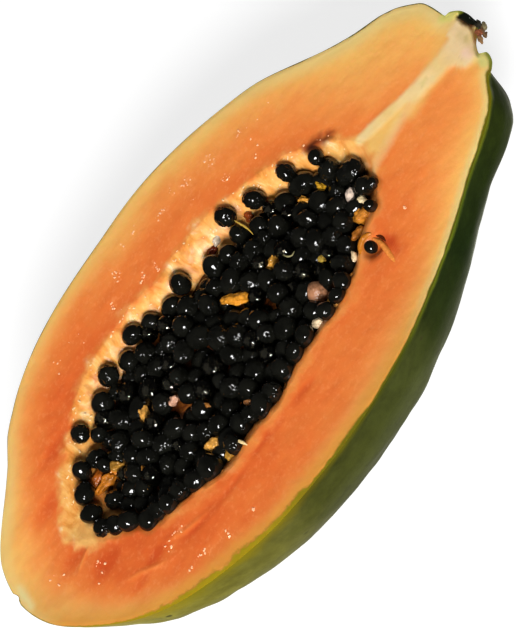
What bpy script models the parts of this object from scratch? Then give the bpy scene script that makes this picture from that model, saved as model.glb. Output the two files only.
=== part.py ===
"""Half a papaya, cut lengthwise, resting on its rounded back with the cut face up.

Two solids: the fruit, which is flesh, skin and stalk stub in one piece with the hollow in it, and the heap of
seeds that lies in the hollow. Lengths are in millimetres here and become metres when the meshes are made.
+X runs from the blossom tip to the stalk, +Y across the cut face, +Z up; Z = 0 is the table.
"""

import bpy
import numpy as np

MM = 0.001

# The fruit's outer form.
CUT_HEIGHT = 58.2  # cut face above the table, a little less than the fruit's depth: its back has a flat spot
RIB_COUNT = 5  # a papaya is faintly five-sided in section
RIB_SWELL = 0.016  # how far a rib stands out, as a share of the radius

# Rows from the blossom tip to the shoulder: x, y of the cut face's far and near edge, depth / half width.
BODY = [
    (-109.0, -1.5, -1.5, 0.98),
    (-106.0, 12.8, -14.7, 0.98),
    (-100.0, 20.5, -23.9, 0.98),
    (-91.0, 28.6, -33.8, 0.98),
    (-84.0, 35.2, -40.0, 0.98),
    (-78.0, 42.3, -44.2, 0.98),
    (-72.0, 46.5, -47.6, 0.98),
    (-65.0, 50.6, -50.6, 0.98),
    (-52.0, 55.6, -54.8, 0.98),
    (-35.0, 58.8, -58.4, 0.98),
    (-14.0, 60.0, -59.7, 0.98),
    (0.0, 60.5, -59.4, 0.972),
    (12.0, 59.5, -58.3, 0.96),
    (28.0, 56.2, -55.3, 0.94),
    (45.0, 50.6, -49.9, 0.92),
    (53.0, 47.2, -46.4, 0.92),
    (60.0, 42.8, -43.0, 0.925),
    (73.0, 33.6, -36.9, 0.985),
    (83.0, 27.9, -32.6, 1.11),
    (91.0, 24.5, -28.3, 1.25),
    (96.0, 21.2, -23.2, 1.22),
]

# Rows round the stalk stub, which aren't square to X: far edge x and y, near edge x and y, depth.
STUB = [
    (100.4, 16.4, 98.3, -21.2, 14.5),
    (102.1, 13.4, 99.0, -21.3, 9.0),
    (102.8, 9.4, 100.4, -20.7, 6.2),
    (103.4, 6.0, 101.9, -19.6, 5.4),
    (105.0, 4.4, 102.6, -17.2, 5.0),
    (106.5, 2.6, 103.2, -14.4, 4.6),
    (107.7, 0.2, 104.4, -12.0, 4.2),
    (108.5, -2.8, 106.6, -10.2, 3.4),
]
STALK_TIP = (109.0, -6.5)

FRUIT_STATIONS = 72
FRUIT_STEPS = 28  # columns of faces from one edge of the cut face round the back to the other

# The seed hollow, sunk from the cut face: x, half width, depth.
HOLLOW = [
    (-86.0, 0.0, 0.0),
    (-81.0, 9.0, 2.8),
    (-70.0, 20.5, 11.5),
    (-57.0, 29.5, 22.5),
    (-40.0, 33.8, 30.0),
    (-22.0, 35.0, 32.0),
    (-2.0, 33.2, 30.5),
    (18.0, 30.0, 27.0),
    (34.0, 25.6, 22.0),
    (47.0, 18.8, 14.5),
    (56.0, 10.2, 5.0),
    (60.5, 0.0, 0.0),
]
HOLLOW_BOWL = 2.7  # 1 gives a round section; from 2 up the wall starts level with the cut face
HOLLOW_STATIONS = 40
HOLLOW_STEPS = 24
CUTTER_HEADROOM = 6.0  # how far the cutter stands above the cut face

# The heap of seeds. Heights are from the cut face.
SEED_DIAMETER = 6.8
HEAP_MIDDLE = (-9.0, -2.0)
HEAP_REACH = (66.0, 40.0)  # from the middle to where the dome would come down to HEAP_FOOT
HEAP_FOOT = -7.0
HEAP_CROWN = 3.5
HEAP_GAP = 0.5  # between the heap and the hollow's wall
HEAP_RELIEF = 2.0  # how deep the dips between seeds are
HEAP_STATIONS = 56
HEAP_STEPS = 22
HEAP_UNDER_STEPS = 12


def through(rows, count):
    """Points along a smooth curve (centripetal Catmull-Rom) through all the rows but the first and last,
    which only set how the curve leaves its two ends."""
    knots = np.array(rows, float)
    gaps = np.sqrt(np.linalg.norm(np.diff(knots, axis=0), axis=1))
    at = np.concatenate([[0.0], np.cumsum(gaps)])
    points = []
    for t in np.linspace(at[1], at[-2], count):
        first = min(max(np.searchsorted(at, t, side="right") - 2, 0), len(knots) - 4)
        p = knots[first : first + 4]
        k = at[first : first + 4]
        for level in (1, 2, 3):
            low, high = k[: 4 - level, None], k[level:, None]
            p = ((high - t) * p[:-1] + (t - low) * p[1:]) / (high - low)
        points.append(p[0])
    return np.array(points)


def fruit_rows():
    """Every row as (far x, far y, near x, near y, depth), with the two tips and, past each, the next row turned
    over, so that the form closes roundly there."""
    rows = [(x, far, x, near, (far - near) / 2 * deep) for x, far, near, deep in BODY]
    rows += STUB
    rows.append((*STALK_TIP, *STALK_TIP, 0.0))

    def turned(row):
        return (row[2], row[3], row[0], row[1], -row[4])

    return [turned(rows[1]), *rows, turned(rows[-2])]


def fruit_sections():
    """One half section for each station: from the near edge of the cut face, round the back, to the far edge."""
    angles = np.linspace(np.pi, 0.0, FRUIT_STEPS + 1)
    ribs = 1 + RIB_SWELL * np.sin(angles) * np.cos(RIB_COUNT * (angles - np.pi / 2))
    sections = []
    for fx, fy, nx, ny, depth in through(fruit_rows(), FRUIT_STATIONS):
        across = np.array([fx - nx, fy - ny, 0.0]) / 2
        middle = np.array([(fx + nx) / 2, (fy + ny) / 2, CUT_HEIGHT])
        ring = middle + np.outer(ribs * np.cos(angles), across)
        ring[:, 2] = np.maximum(CUT_HEIGHT - ribs * np.sin(angles) * depth, 0.0)
        sections.append(ring)
    return np.array(sections)


def hollow_rows():
    """The hollow's x, half width and depth at its stations, closing roundly at both ends."""
    first, last = HOLLOW[1], HOLLOW[-2]
    rows = [(first[0], -first[1], first[2]), *HOLLOW, (last[0], -last[1], last[2])]
    return through(rows, HOLLOW_STATIONS)


def hollow_sections():
    """Closed sections of the cutter: the bowl below the cut face, and straight sides above it."""
    angles = np.linspace(np.pi, 0.0, HOLLOW_STEPS + 1)
    sections = []
    for x, half, depth in hollow_rows():
        y = half * np.cos(angles)
        z = CUT_HEIGHT - depth * np.sin(angles) ** HOLLOW_BOWL
        bowl = np.column_stack([np.full_like(y, x), y, z])
        top = CUT_HEIGHT + CUTTER_HEADROOM
        sections.append(np.vstack([[x, -half, top], bowl, [x, half, top]]))
    return np.array(sections)


def wall_depth(x, y):
    """Depth of the hollow's wall below the cut face, with the heap's gap taken off. 0 outside it."""
    rows = hollow_rows()
    half = np.interp(x, rows[:, 0], rows[:, 1]) - HEAP_GAP
    depth = np.interp(x, rows[:, 0], rows[:, 2]) - HEAP_GAP
    share = np.clip(1 - (y / np.maximum(half, 1e-6)) ** 2, 0, None)
    return np.where((half > 0) & (depth > 0), depth * share ** (HOLLOW_BOWL / 2), 0.0)


def dome(x, y):
    """Smooth height of the heap against the cut face."""
    u = (x - HEAP_MIDDLE[0]) / HEAP_REACH[0]
    v = (y - HEAP_MIDDLE[1]) / HEAP_REACH[1]
    return HEAP_CROWN - (HEAP_CROWN - HEAP_FOOT) * (u * u + v * v)


def seed_relief(x, y):
    """Dips between seeds that lie in rows, each row half a seed along from the last: 0 on a seed's crown, down
    to -HEAP_RELIEF between seeds."""
    pitch = SEED_DIAMETER * np.sqrt(3) / 2
    row = np.round(y / pitch)
    along = x / SEED_DIAMETER + 0.5 * (row % 2)
    dx = (along - np.round(along)) * SEED_DIAMETER
    dy = y - row * pitch
    off = np.clip(np.hypot(dx, dy) / (SEED_DIAMETER / 2), 0, 1)
    return -HEAP_RELIEF * (1 - np.sqrt(1 - off**2))


def heap_edge(x, side):
    """Where the dome meets the hollow's wall at x, on the far (1) or near (-1) side of the heap's middle."""
    inside, outside = HEAP_MIDDLE[1], HEAP_MIDDLE[1] + side * HEAP_REACH[1]
    for _ in range(40):
        y = (inside + outside) / 2
        if dome(x, y) > -wall_depth(x, y):
            inside = y
        else:
            outside = y
    return inside


def heap_sections():
    """Closed sections of the heap: over the top from far to near, and back along the hollow's wall."""
    spread = np.linspace(HEAP_MIDDLE[0] - HEAP_REACH[0], HEAP_MIDDLE[0] + HEAP_REACH[0], 600)
    inside = spread[dome(spread, HEAP_MIDDLE[1]) > 1.0 - wall_depth(spread, HEAP_MIDDLE[1])]
    sections = []
    for x in np.linspace(inside[0], inside[-1], HEAP_STATIONS):
        far, near = heap_edge(x, 1), heap_edge(x, -1)
        middle, half = (far + near) / 2, (far - near) / 2
        over = middle + half * np.cos(np.linspace(0.0, np.pi, HEAP_STEPS + 1))
        under = middle - half * np.cos(np.linspace(0.0, np.pi, HEAP_UNDER_STEPS + 1))[1:-1]
        floor = -wall_depth(x, over)
        room = np.clip((dome(x, over) - floor) / (2 * HEAP_RELIEF), 0, 1)
        top = dome(x, over) + seed_relief(x, over) * room
        y = np.concatenate([over, under])
        z = CUT_HEIGHT + np.concatenate([top, -wall_depth(x, under)])
        sections.append(np.column_stack([np.full_like(y, x), y, z]))
    return np.array(sections)


def loft(name, sections, tips=(None, None)):
    """A closed object through sections with equal numbers of points, all closed rings. Each end comes to a tip
    or, where that is None, gets a flat cap."""
    stations, around = sections.shape[:2]
    points = [tuple(p * MM) for p in sections.reshape(-1, 3)]
    faces = []
    for i in range(stations - 1):
        for j in range(around):
            a, b = i * around + j, i * around + (j + 1) % around
            faces.append((a, b, b + around, a + around))
    for tip, start, turn in ((tips[0], 0, -1), (tips[1], (stations - 1) * around, 1)):
        ring = [start + j for j in range(around)][::turn]
        if tip is None:
            faces.append(ring)
            continue
        points.append(tuple(np.array(tip) * MM))
        faces += [(ring[j], ring[(j + 1) % around], len(points) - 1) for j in range(around)]
    mesh = bpy.data.meshes.new(name)
    mesh.from_pydata(points, [], faces)
    made = bpy.data.objects.new(name, mesh)
    bpy.context.scene.collection.objects.link(made)
    return made


def material(name, colour, roughness):
    """A Principled material with a linear colour, for something that isn't metal."""
    made = bpy.data.materials.new(name)
    made.use_nodes = True
    shader = made.node_tree.nodes["Principled BSDF"]
    shader.inputs["Base Color"].default_value = (*colour, 1.0)
    shader.inputs["Roughness"].default_value = roughness
    shader.inputs["Metallic"].default_value = 0.0
    return made


def finish(made, paint):
    """Smooth shading with the cut edges kept sharp, and the piece's material."""
    made.data.materials.append(paint)
    made.data.shade_smooth()
    made.data.set_sharp_from_angle(angle=np.radians(35))


def make_fruit():
    sections = fruit_sections()
    tips = [(section[0] + section[-1]) / 2 for section in (sections[0], sections[-1])]
    fruit = loft("papaya_half", sections[1:-1], tips)
    cutter = loft("hollow_cutter", hollow_sections()[1:-1])
    cutter.hide_render = True
    cutter.display_type = "WIRE"
    cut = fruit.modifiers.new("hollow", "BOOLEAN")
    cut.operation = "DIFFERENCE"
    cut.object = cutter
    finish(fruit, material("papaya_flesh", (0.80, 0.22, 0.06), 0.35))


def make_heap():
    finish(loft("seed_heap", heap_sections()), material("papaya_seeds", (0.006, 0.006, 0.005), 0.15))


def main():
    for old in list(bpy.data.objects):
        bpy.data.objects.remove(old)
    make_fruit()
    make_heap()


main()
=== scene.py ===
"""The looks of half a papaya, cut face up: flesh and skin in one mesh, the seeds over a core of pulp, the wet
threads and bits between them, and the dried remains of the stalk.

Shapes are worked out in millimetres in the part's own frame: +X from the blossom tip to the stalk, +Y across
the cut face away from the camera, +Z up, and Z = 0 on the table. Meshes are made in metres.
"""

import bmesh
import bpy
import numpy as np
from mathutils import Matrix, Vector


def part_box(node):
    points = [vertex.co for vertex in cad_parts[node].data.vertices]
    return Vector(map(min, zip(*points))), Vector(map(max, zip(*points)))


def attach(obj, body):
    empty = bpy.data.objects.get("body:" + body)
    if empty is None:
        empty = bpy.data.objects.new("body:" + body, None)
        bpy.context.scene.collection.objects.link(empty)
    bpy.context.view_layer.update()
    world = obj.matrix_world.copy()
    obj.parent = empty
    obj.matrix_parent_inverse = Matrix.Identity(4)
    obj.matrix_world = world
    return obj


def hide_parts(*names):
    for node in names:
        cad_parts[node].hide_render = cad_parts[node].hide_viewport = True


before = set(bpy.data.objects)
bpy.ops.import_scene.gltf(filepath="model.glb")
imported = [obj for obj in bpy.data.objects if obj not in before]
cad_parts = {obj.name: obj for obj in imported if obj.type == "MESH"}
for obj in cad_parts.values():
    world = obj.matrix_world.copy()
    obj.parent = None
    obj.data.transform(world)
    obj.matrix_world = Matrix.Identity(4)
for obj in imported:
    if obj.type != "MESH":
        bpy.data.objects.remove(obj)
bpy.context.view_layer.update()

MM = 0.001
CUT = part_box("papaya_half")[1].z / MM  # height of the cut face
HEAP_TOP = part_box("seed_heap")[1].z / MM
SEED = 11  # of every random draw

# ---------------------------------------------------------------- the fruit's form

RIB_COUNT = 5
RIB_SWELL = 0.016

# From the blossom tip to the shoulder: x, y of the cut face's far and near edge, depth / half width.
BODY = [
    (-109, -1.5, -1.5, 0.98), (-106, 12.8, -14.7, 0.98), (-100, 20.5, -23.9, 0.98),
    (-91, 28.6, -33.8, 0.98), (-84, 35.2, -40, 0.98), (-78, 42.3, -44.2, 0.98), (-72, 46.5, -47.6, 0.98),
    (-65, 50.6, -50.6, 0.98), (-52, 55.6, -54.8, 0.98), (-35, 58.8, -58.4, 0.98), (-14, 60, -59.7, 0.98),
    (0, 60.5, -59.4, 0.972), (12, 59.5, -58.3, 0.96), (28, 56.2, -55.3, 0.94), (45, 50.6, -49.9, 0.92),
    (53, 47.2, -46.8, 0.92), (60, 42.8, -43.8, 0.925), (73, 33.6, -37.4, 0.985), (83, 27.9, -33.1, 1.11),
    (91, 24.5, -28.8, 1.25), (94, 22.6, -26.2, 1.24), (96, 21.2, -23.2, 1.22),
]

# Round the stalk stub: far edge x and y, near edge x and y, depth. A notch parts the far shoulder from the
# stub's collar, and on the near side a green nub stands beside the torn place.
STUB = [
    (100.4, 16.4, 98.2, -20.9, 14), (102.1, 13.6, 98.8, -21, 8.4), (102.8, 9.6, 99.6, -20.8, 5),
    (103, 6.4, 100.8, -19.9, 4), (103.2, 4.5, 101.7, -18.9, 3.2), (104.6, 4.1, 102.4, -17.2, 2.4),
    (106, 2.6, 102.5, -15.6, 1.9), (107.1, 0.7, 100.9, -13.9, 1.3), (107.6, -2, 101.6, -12.1, 1),
    (107.5, -4.6, 102.7, -10.6, 0.8),
]
STALK_TIP = (107.0, -7.2)
# The torn edge between the nub and the tip, as x at growing y. Under it the stub is hollowed out.
TORN_EDGE = [(102.4, -17.2), (102.5, -15.6), (100.9, -13.9), (101.6, -12.1), (102.7, -10.6), (107, -7.2)]
INSET = 0.9995  # keeps this finer outline inside the CAD's

# The hollow: x, y of its far and near edge on the cut face, depth.
HOLLOW = [
    (-85.5, -0.8, -0.8, 0), (-80, 8, -7.6, 1), (-76, 12.4, -12.4, 1.8), (-70, 18, -17.6, 5),
    (-65, 22.5, -23.4, 11.5), (-60, 26.4, -26.4, 19), (-52, 30.4, -28.4, 25.5), (-45, 32.3, -30.4, 28.5),
    (-39, 33.6, -32.8, 30), (-33, 34.2, -33.6, 31), (-22, 34.2, -33.4, 31.5), (-11, 31.8, -33.9, 31),
    (0, 32.5, -31.6, 30), (10, 31.6, -30.2, 28.5), (20, 30, -30, 26.5), (28, 26.8, -28.6, 24.5),
    (33, 25, -26.2, 22), (38, 22.8, -23, 19), (44, 20.4, -20.6, 13.5), (50, 15.6, -18.6, 8.5),
    (54.5, 11.2, -13.4, 3.8), (58, 6, -8, 1), (60.5, -1.2, -1.2, 0),
]
HOLLOW_BOWL = 3.4  # above 2, the wall starts level with the cut face

STATIONS = 390
SKIN_STEPS = 90
WALL_STEPS = 50
STRIP_EDGE = (0.25, 0.6, 1.1, 1.7, 2.3, 2.9, 3.5, 4.1, 4.7, 5.3)  # rows this far in from the cut face's edges
STRIP_STEPS = 28  # rows of the cut face between those
FAR_OFF = 60.0  # a distance attribute where it doesn't apply
LINING_OVER = 1.0  # how far the lining's yellow reaches past the hollow's near edge
CHIP = (-109.2, 0.7, 2.4)  # x, y and reach of a nick in the skin at the blossom tip
DENT_DEPTHS = (0.42, 0.16)  # of the skin's broad and small dents
LUMP_HEIGHTS = (0.3, 0.2)  # of the wall's broad and small lumps
SKIN_CROWDING = 0.6  # how much closer the skin's rows lie toward the cut face
WALL_CROWDING = 0.75  # and the wall's rows toward its two edges
STUB_TAPER = 1.4  # how much the torn stub narrows toward its underside


def through(rows, count):
    """Points along a smooth curve (centripetal Catmull-Rom) through all the rows but the first and last,
    which only set how the curve leaves its two ends."""
    knots = np.array(rows, float)
    gaps = np.sqrt(np.linalg.norm(np.diff(knots, axis=0), axis=1))
    at = np.concatenate([[0.0], np.cumsum(gaps)])
    points = []
    for t in np.linspace(at[1], at[-2], count):
        first = min(max(np.searchsorted(at, t, side="right") - 2, 0), len(knots) - 4)
        p = knots[first : first + 4]
        k = at[first : first + 4]
        for level in (1, 2, 3):
            low, high = k[: 4 - level, None], k[level:, None]
            p = ((high - t) * p[:-1] + (t - low) * p[1:]) / (high - low)
        points.append(p[0])
    return np.array(points)


def noise(points, size, seed=0):
    """Smooth value noise from -1 to 1 at points (n, 3), with bumps about size across."""
    p = points / size + np.array([17.3, 5.1, 9.7]) * (seed + 1)
    cell = np.floor(p).astype(np.int64)
    part = p - cell
    part = part * part * part * (part * (part * 6 - 15) + 10)
    total = np.zeros(len(p))
    for corner in np.ndindex(2, 2, 2):
        c = cell + corner
        h = (c[:, 0] * 73856093) ^ (c[:, 1] * 19349663) ^ (c[:, 2] * 83492791) ^ (seed * 2654435761)
        h = (h ^ (h >> 13)) * 1274126177 & 0xFFFFFFFF
        h = (h ^ (h >> 16)) & 0xFFFF
        share = np.prod(np.where(corner, part, 1 - part), axis=1)
        total += share * (h / 32767.5 - 1)
    return total


def smooth(low, high, value):
    """0 below low, 1 above high, and a soft step between. low may be the larger."""
    t = np.clip((value - low) / (high - low), 0, 1)
    return t * t * (3 - 2 * t)


def units(vectors):
    """Vectors (n, 3) made one long."""
    return vectors / np.maximum(np.linalg.norm(vectors, axis=1, keepdims=True), 1e-6)


def off_line(points, line):
    """Distance in the plane from points (n, 2+) to a polyline, and how far along it (0 to 1) that is."""
    line = np.array(line, float)[:, :2]
    best = np.full(len(points), 1e9)
    along = np.zeros(len(points))
    lengths = np.linalg.norm(np.diff(line, axis=0), axis=1)
    starts = np.concatenate([[0], np.cumsum(lengths)])
    for a, b, start, length in zip(line[:-1], line[1:], starts, lengths):
        if length < 1e-9:
            continue
        t = np.clip(((points[:, :2] - a) @ (b - a)) / length**2, 0, 1)
        d = np.linalg.norm(points[:, :2] - a - t[:, None] * (b - a), axis=1)
        near = d < best
        best[near] = d[near]
        along[near] = (start + t[near] * length) / starts[-1]
    return best, along


def fruit_rows():
    """Every row as (far x, far y, near x, near y, depth), closing roundly at both tips."""
    rows = [(x, far, x, near, (far - near) / 2 * deep) for x, far, near, deep in BODY]
    rows += [*STUB, (*STALK_TIP, *STALK_TIP, 0.0)]
    # Beyond each tip comes the row before it once more, turned over, so that the curve closes roundly.
    before, after = ((nx, ny, fx, fy, -depth) for fx, fy, nx, ny, depth in (rows[1], rows[-2]))
    return [before, *rows, after]


def hollow_rows():
    """The hollow's rows, closing roundly at both ends."""
    before, after = ((x, near, far, depth) for x, far, near, depth in (HOLLOW[1], HOLLOW[-2]))
    return [before, *HOLLOW, after]


def uneven(rows):
    """The hollow's rows with a far and a near edge that waver, less so at its ends."""
    along = np.column_stack([rows[:, 0], np.zeros((len(rows), 2))])
    room = np.clip((rows[:, 1] - rows[:, 2]) / 24, 0, 1)
    rows[:, 1] += room * (0.8 * noise(along, 6, 61) + 0.4 * noise(along, 2.2, 62))
    rows[:, 2] += room * (0.7 * noise(along, 5, 63) + 0.5 * noise(along, 1.9, 64))
    return rows


def skin_sections(edges):
    """Sections of the skin, from the near edge of the cut face round the back to the far edge."""
    s = np.linspace(0, 1, SKIN_STEPS + 1)
    angles = np.pi * (1 - s + SKIN_CROWDING * np.sin(2 * np.pi * s) / (2 * np.pi))
    ribs = 1 + RIB_SWELL * np.sin(angles) * np.cos(RIB_COUNT * (angles - np.pi / 2))
    sections = []
    for fx, fy, nx, ny, depth in edges:
        across = INSET * np.array([fx - nx, fy - ny, 0.0]) / 2
        middle = np.array([(fx + nx) / 2, (fy + ny) / 2, CUT])
        ring = middle + np.outer(ribs * np.cos(angles), across)
        taper = 1 + STUB_TAPER * smooth(99.5, 103, middle[0])
        ring[:, 2] = CUT - ribs * np.abs(np.sin(angles)) ** taper * depth
        sections.append(ring)
    skin = np.array(sections)
    flat = skin.reshape(-1, 3)
    # Shallow dents, none at the cut.
    dents = DENT_DEPTHS[0] * (1 + noise(flat, 11, 1)) + DENT_DEPTHS[1] * (1 + noise(flat, 5, 2))
    fade = smooth(0, 4, CUT - flat[:, 2])
    axis = np.column_stack([np.clip(flat[:, 0], -60, 60), np.zeros(len(flat)), np.full(len(flat), CUT)])
    flat += units(axis - flat) * (dents * fade)[:, None]
    flat[:, 2] = np.maximum(flat[:, 2], 0.0)
    # Under the torn edge the stub is cut back at a slant.
    under = CUT - flat[:, 2]
    torn_x, torn_y = np.array(TORN_EDGE).T
    limit = np.interp(flat[:, 1] - 0.9 * under, torn_y, torn_x) - 0.3 * under
    torn = (flat[:, 0] > 98) & (flat[:, 1] > -17.2) & (flat[:, 1] < -3) & (under > 0.02)
    flat[torn, 0] = np.minimum(flat[torn, 0], limit[torn])
    return flat.reshape(skin.shape)


def wall_sections(edges):
    """Sections of the hollow's wall, from its far edge down and up to its near edge."""
    s = np.linspace(0, 1, WALL_STEPS + 1)
    angles = np.pi * (s - WALL_CROWDING * np.sin(2 * np.pi * s) / (2 * np.pi))
    sections = []
    for x, far, near, depth in edges:
        y = (far + near) / 2 + (far - near) / 2 * np.cos(angles)
        z = CUT - depth * np.sin(angles) ** HOLLOW_BOWL
        sections.append(np.column_stack([np.full_like(y, x), y, z]))
    wall = np.array(sections)
    flat = wall.reshape(-1, 3)
    lumps = LUMP_HEIGHTS[0] * noise(flat, 4.5, 3) + LUMP_HEIGHTS[1] * noise(flat, 1.8, 4)
    fade = smooth(0, 1.6, CUT - flat[:, 2])
    centre = np.column_stack([flat[:, 0] * 0.8, np.zeros(len(flat)), np.full(len(flat), CUT + 10)])
    flat += units(flat - centre) * (lumps * fade)[:, None]
    return flat.reshape(wall.shape)


def strip(outer, inner):
    """Rows of points across the cut face, from just inside its outer edge to just short of the hollow."""
    reach = np.linalg.norm(inner - outer, axis=1)[:, None]
    edge = np.array(STRIP_EDGE)[None, :] / reach
    between = np.linspace(0, 1, STRIP_STEPS + 2)[None, 1:-1]
    middle = edge[:, -1:] + (1 - 2 * edge[:, -1:]) * between
    t = np.concatenate([edge, middle, 1 - edge[:, ::-1]], axis=1)[:, :, None]
    return outer[:, None, :] * (1 - t) + inner[:, None, :] * t


# Landmarks on the cut face, in x and y, and for bands half the width too. The pale core runs in from the
# stalk and parts into two branches, with yellow flesh between them.
CORE = [
    (104.6, -5.6, 6.4), (101.4, -6.8, 7.4), (98.4, -7.2, 6.6), (95.6, -5.8, 4.2), (92.4, -5, 2.9),
    (88.8, -4.6, 3), (84, -4, 2.7), (80, -3.8, 2.6),
]
CORE_FAR_BRANCH = [(81, -2.6, 1.7), (76, -1.7, 1.6), (70, -0.2, 1.8), (65, 0.9, 1.9), (60.6, 1.7, 1.5)]
CORE_NEAR_BRANCH = [(81, -4.4, 1.6), (74, -5.4, 1.6), (66, -6.8, 1.6), (59, -8, 1.6), (56.5, -9, 1)]
CORE_MIDDLE = [(78, -3.4, 1), (70, -3.4, 2.6), (62, -2.6, 4.4), (56, -1, 7)]
# Beside the core: yellow flesh on its near side and up to the collar on its far side.
CORE_FRINGE = [
    (102.6, 2, 2.4), (99.6, 1.4, 2.2), (96.6, -1, 2), (90, -5, 3.6), (84, -5.6, 2.6), (76, -6.8, 2),
]
# Faint paler folds that stand up a little.
CREASES = [
    [(-78.5, -8.8), (-83, -9.8), (-89, -12.4)], [(-66, -35.4), (-73, -31.6), (-79.5, -27.2)],
    [(-79, -9.5), (-75.5, -13.5), (-72, -17.5)], [(-45, -36.5), (-56, -34), (-64, -29.5)],
]
# Deeper, redder places: x, y, half length along x, half length across.
SCOOPS = [
    (-67, -31, 5.5, 1.8), (-80.5, -18, 5.5, 3.6), (-86, -7.5, 7, 2.6), (-83, 12, 7, 3.2),
    (-76, -33, 4, 1.6), (-52, -36.5, 9, 1.8), (-69, 24, 6, 2.6), (44.6, -28.8, 2.4, 2.4),
    (54.5, 13.5, 3.4, 2), (-38, -37.6, 9, 1.2), (-20, -36.8, 8, 1.4), (-4, -37, 6, 1.5),
]


def band(points, line, soft=1.0):
    """1 inside a band whose centre and half width change along a line of (x, y, half width), 0 outside."""
    distance, along = off_line(points, line)
    line = np.array(line)
    lengths = np.concatenate([[0], np.cumsum(np.linalg.norm(np.diff(line[:, :2], axis=0), axis=1))])
    half = np.interp(along * lengths[-1], lengths, line[:, 2])
    return smooth(half + soft, half - soft, distance)


# How the flesh's colour changes along the fruit: x, the distance from the rim over which it deepens on the
# far and on the near side, and how deep it gets on each.
RIPENING = [
    (-109, 15, 13, 0.45, 0.6), (-95, 14, 11, 0.72, 0.86), (-80, 10, 7, 1, 1.08), (-60, 9, 4.3, 1.01, 0.98),
    (-40, 9, 4.6, 1.03, 0.98), (-15, 13, 4.8, 0.91, 0.88), (5, 13, 6.5, 0.85, 0.87),
    (25, 14, 8, 0.82, 0.87), (45, 18, 7.5, 0.91, 0.91), (60, 18, 9, 0.8, 0.74), (75, 26, 8.5, 0.69, 0.65),
    (95, 26, 7, 0.6, 0.62),
]
# The skin's edge as seen on the cut: x, its width on the far and on the near side, how yellow it is on the
# near side, and how pale the flesh beside it is on the far and on the near side.
RIM = [
    (-109, 0.05, 0.25, 0.9, 0.45, 0.3), (-95, 0.12, 0.32, 1, 0.6, 0.25), (-82, 0.18, 0.5, 1, 0.35, 0.15),
    (-68, 0.18, 1.3, 1, 0.15, 0.05), (-52, 0.18, 1.75, 1, 0.15, 0), (-36, 0.18, 1.7, 0.9, 0.15, 0),
    (-22, 0.18, 1.2, 0.6, 0.15, 0), (-8, 0.18, 0.8, 0.4, 0.15, 0.1), (15, 0.18, 0.62, 0.2, 0.2, 0.4),
    (40, 0.2, 0.5, 0.15, 0.5, 0.7), (58, 0.22, 0.45, 0.15, 0.7, 0.9), (80, 0.32, 0.55, 0.2, 0.9, 0.9),
    (95, 0.42, 0.6, 0.35, 0.9, 0.8),
]


def tabled(x, rows):
    """The columns of a table at x, its first column."""
    table = np.array(rows, float)
    return [np.interp(x, table[:, 0], column) for column in table[:, 1:].T]


def glint_glow_places(x, y):
    """How strongly a painted glow of pale flecks lies round the clusters of beads, about their glints."""
    glint_glow = np.zeros(len(x))
    for bead_x, bead_y, reach_x, reach_y, count in BEADS:
        d = np.hypot((x - bead_x) / (reach_x + 0.9), (y - bead_y) / (reach_y + 0.9))
        close = min(1.0, count / (reach_x * reach_y) / 2)
        glint_glow = np.maximum(glint_glow, close * smooth(1.5, 0.4, d))
    return glint_glow


def face_traits(points, rim):
    """How the flesh looks at each point, mostly from 0 to 1, and how high its marks stand in millimetres."""
    x, y = points[:, 0], points[:, 1]
    level = points * [1, 1, 0]
    far = y > 0
    share = smooth(-10, 10, y)  # of the far side
    fade_far, fade_near, most_far, most_near = tabled(x, RIPENING)
    fade = fade_near * (1 - share) + fade_far * share
    most = most_near * (1 - share) + most_far * share
    width_far, width_near, yellow, pale_far, pale_near = tabled(x, RIM)
    worn = 0.75 + 0.5 * noise(level, 7, 25) + 0.25 * noise(level, 2, 26)
    width = np.where(far, width_far * np.clip(worn, 0.1, 1.5), width_near * np.clip(worn + 0.25, 0.5, 1.4))
    blotch = 0.08 * noise(points * [0.6, 1, 0], 9, 21) + 0.05 * noise(points * [0.8, 1, 0], 4, 22)
    blotch *= smooth(90, 20, x)
    scoop = np.zeros(len(points))
    for middle_x, middle_y, long, wide in SCOOPS:
        d = np.hypot((x - middle_x) / long, (y - middle_y) / wide) + 0.3 * noise(points, 4, 23)
        scoop = np.maximum(scoop, smooth(1.5, 0.2, d))
    crease = np.zeros(len(points))
    for line in CREASES:
        d, along = off_line(points + 0.5 * noise(points, 5, 24)[:, None], line)
        ends = np.sin(np.pi * np.clip(along, 0.02, 0.98)) ** 0.5
        crease = np.maximum(crease, smooth(1.2, 0.1, d) * ends)
    depth = 1 - np.exp(-1.3 * (np.maximum(rim - width, 0) / fade) ** 1.3)
    pale_far *= smooth(width + 7.0, width + 0.6, rim)
    pale_near *= smooth(width + 3.2, width + 0.2, rim)
    core = np.maximum(band(points, CORE, 1.3), band(points, CORE_FAR_BRANCH, 0.9))
    core = np.maximum(core, 0.5 * band(points, CORE_NEAR_BRANCH, 1.4))
    traits = {
        "ripe": most * depth + blotch * smooth(2, 8, rim) + 0.22 * scoop - 0.22 * crease,
        "core": core,
        "yellow": np.maximum(band(points, CORE_MIDDLE, 1.6), 0.75 * band(points, CORE_FRINGE, 2.2)),
        "pale": np.where(far, pale_far, pale_near),
        "edge": np.minimum(rim / width, FAR_OFF),
        "edge_yellow": np.where(far, 0.0, yellow),
        # Painted shade: the near side's flesh darker, most within a few millimetres of the rim.
        "shade": 1 - (0.10 + 0.10 * smooth(12, 3, rim)) * smooth(8, -8, y) * smooth(75, 25, x),
        "stub": smooth(90, 99, x),
        "near_side": smooth(6, -10, y) * smooth(-80, -62, x),
        "warm": 0.75 * smooth(-10, -20, y) * smooth(50, 20, x) * smooth(width + 5.5, width, rim),
        # Painted light: the lining at the blossom end's near side made lighter where its slope lies in shade.
        "end_painted_light": 0.62 * smooth(-62, -74, x) * smooth(4, -6, y) * smooth(-22, -12, y),
        "glint_glow": glint_glow_places(x, y),
    }
    return traits, 0.22 * crease - 0.14 * scoop + 0.12 * core


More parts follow.
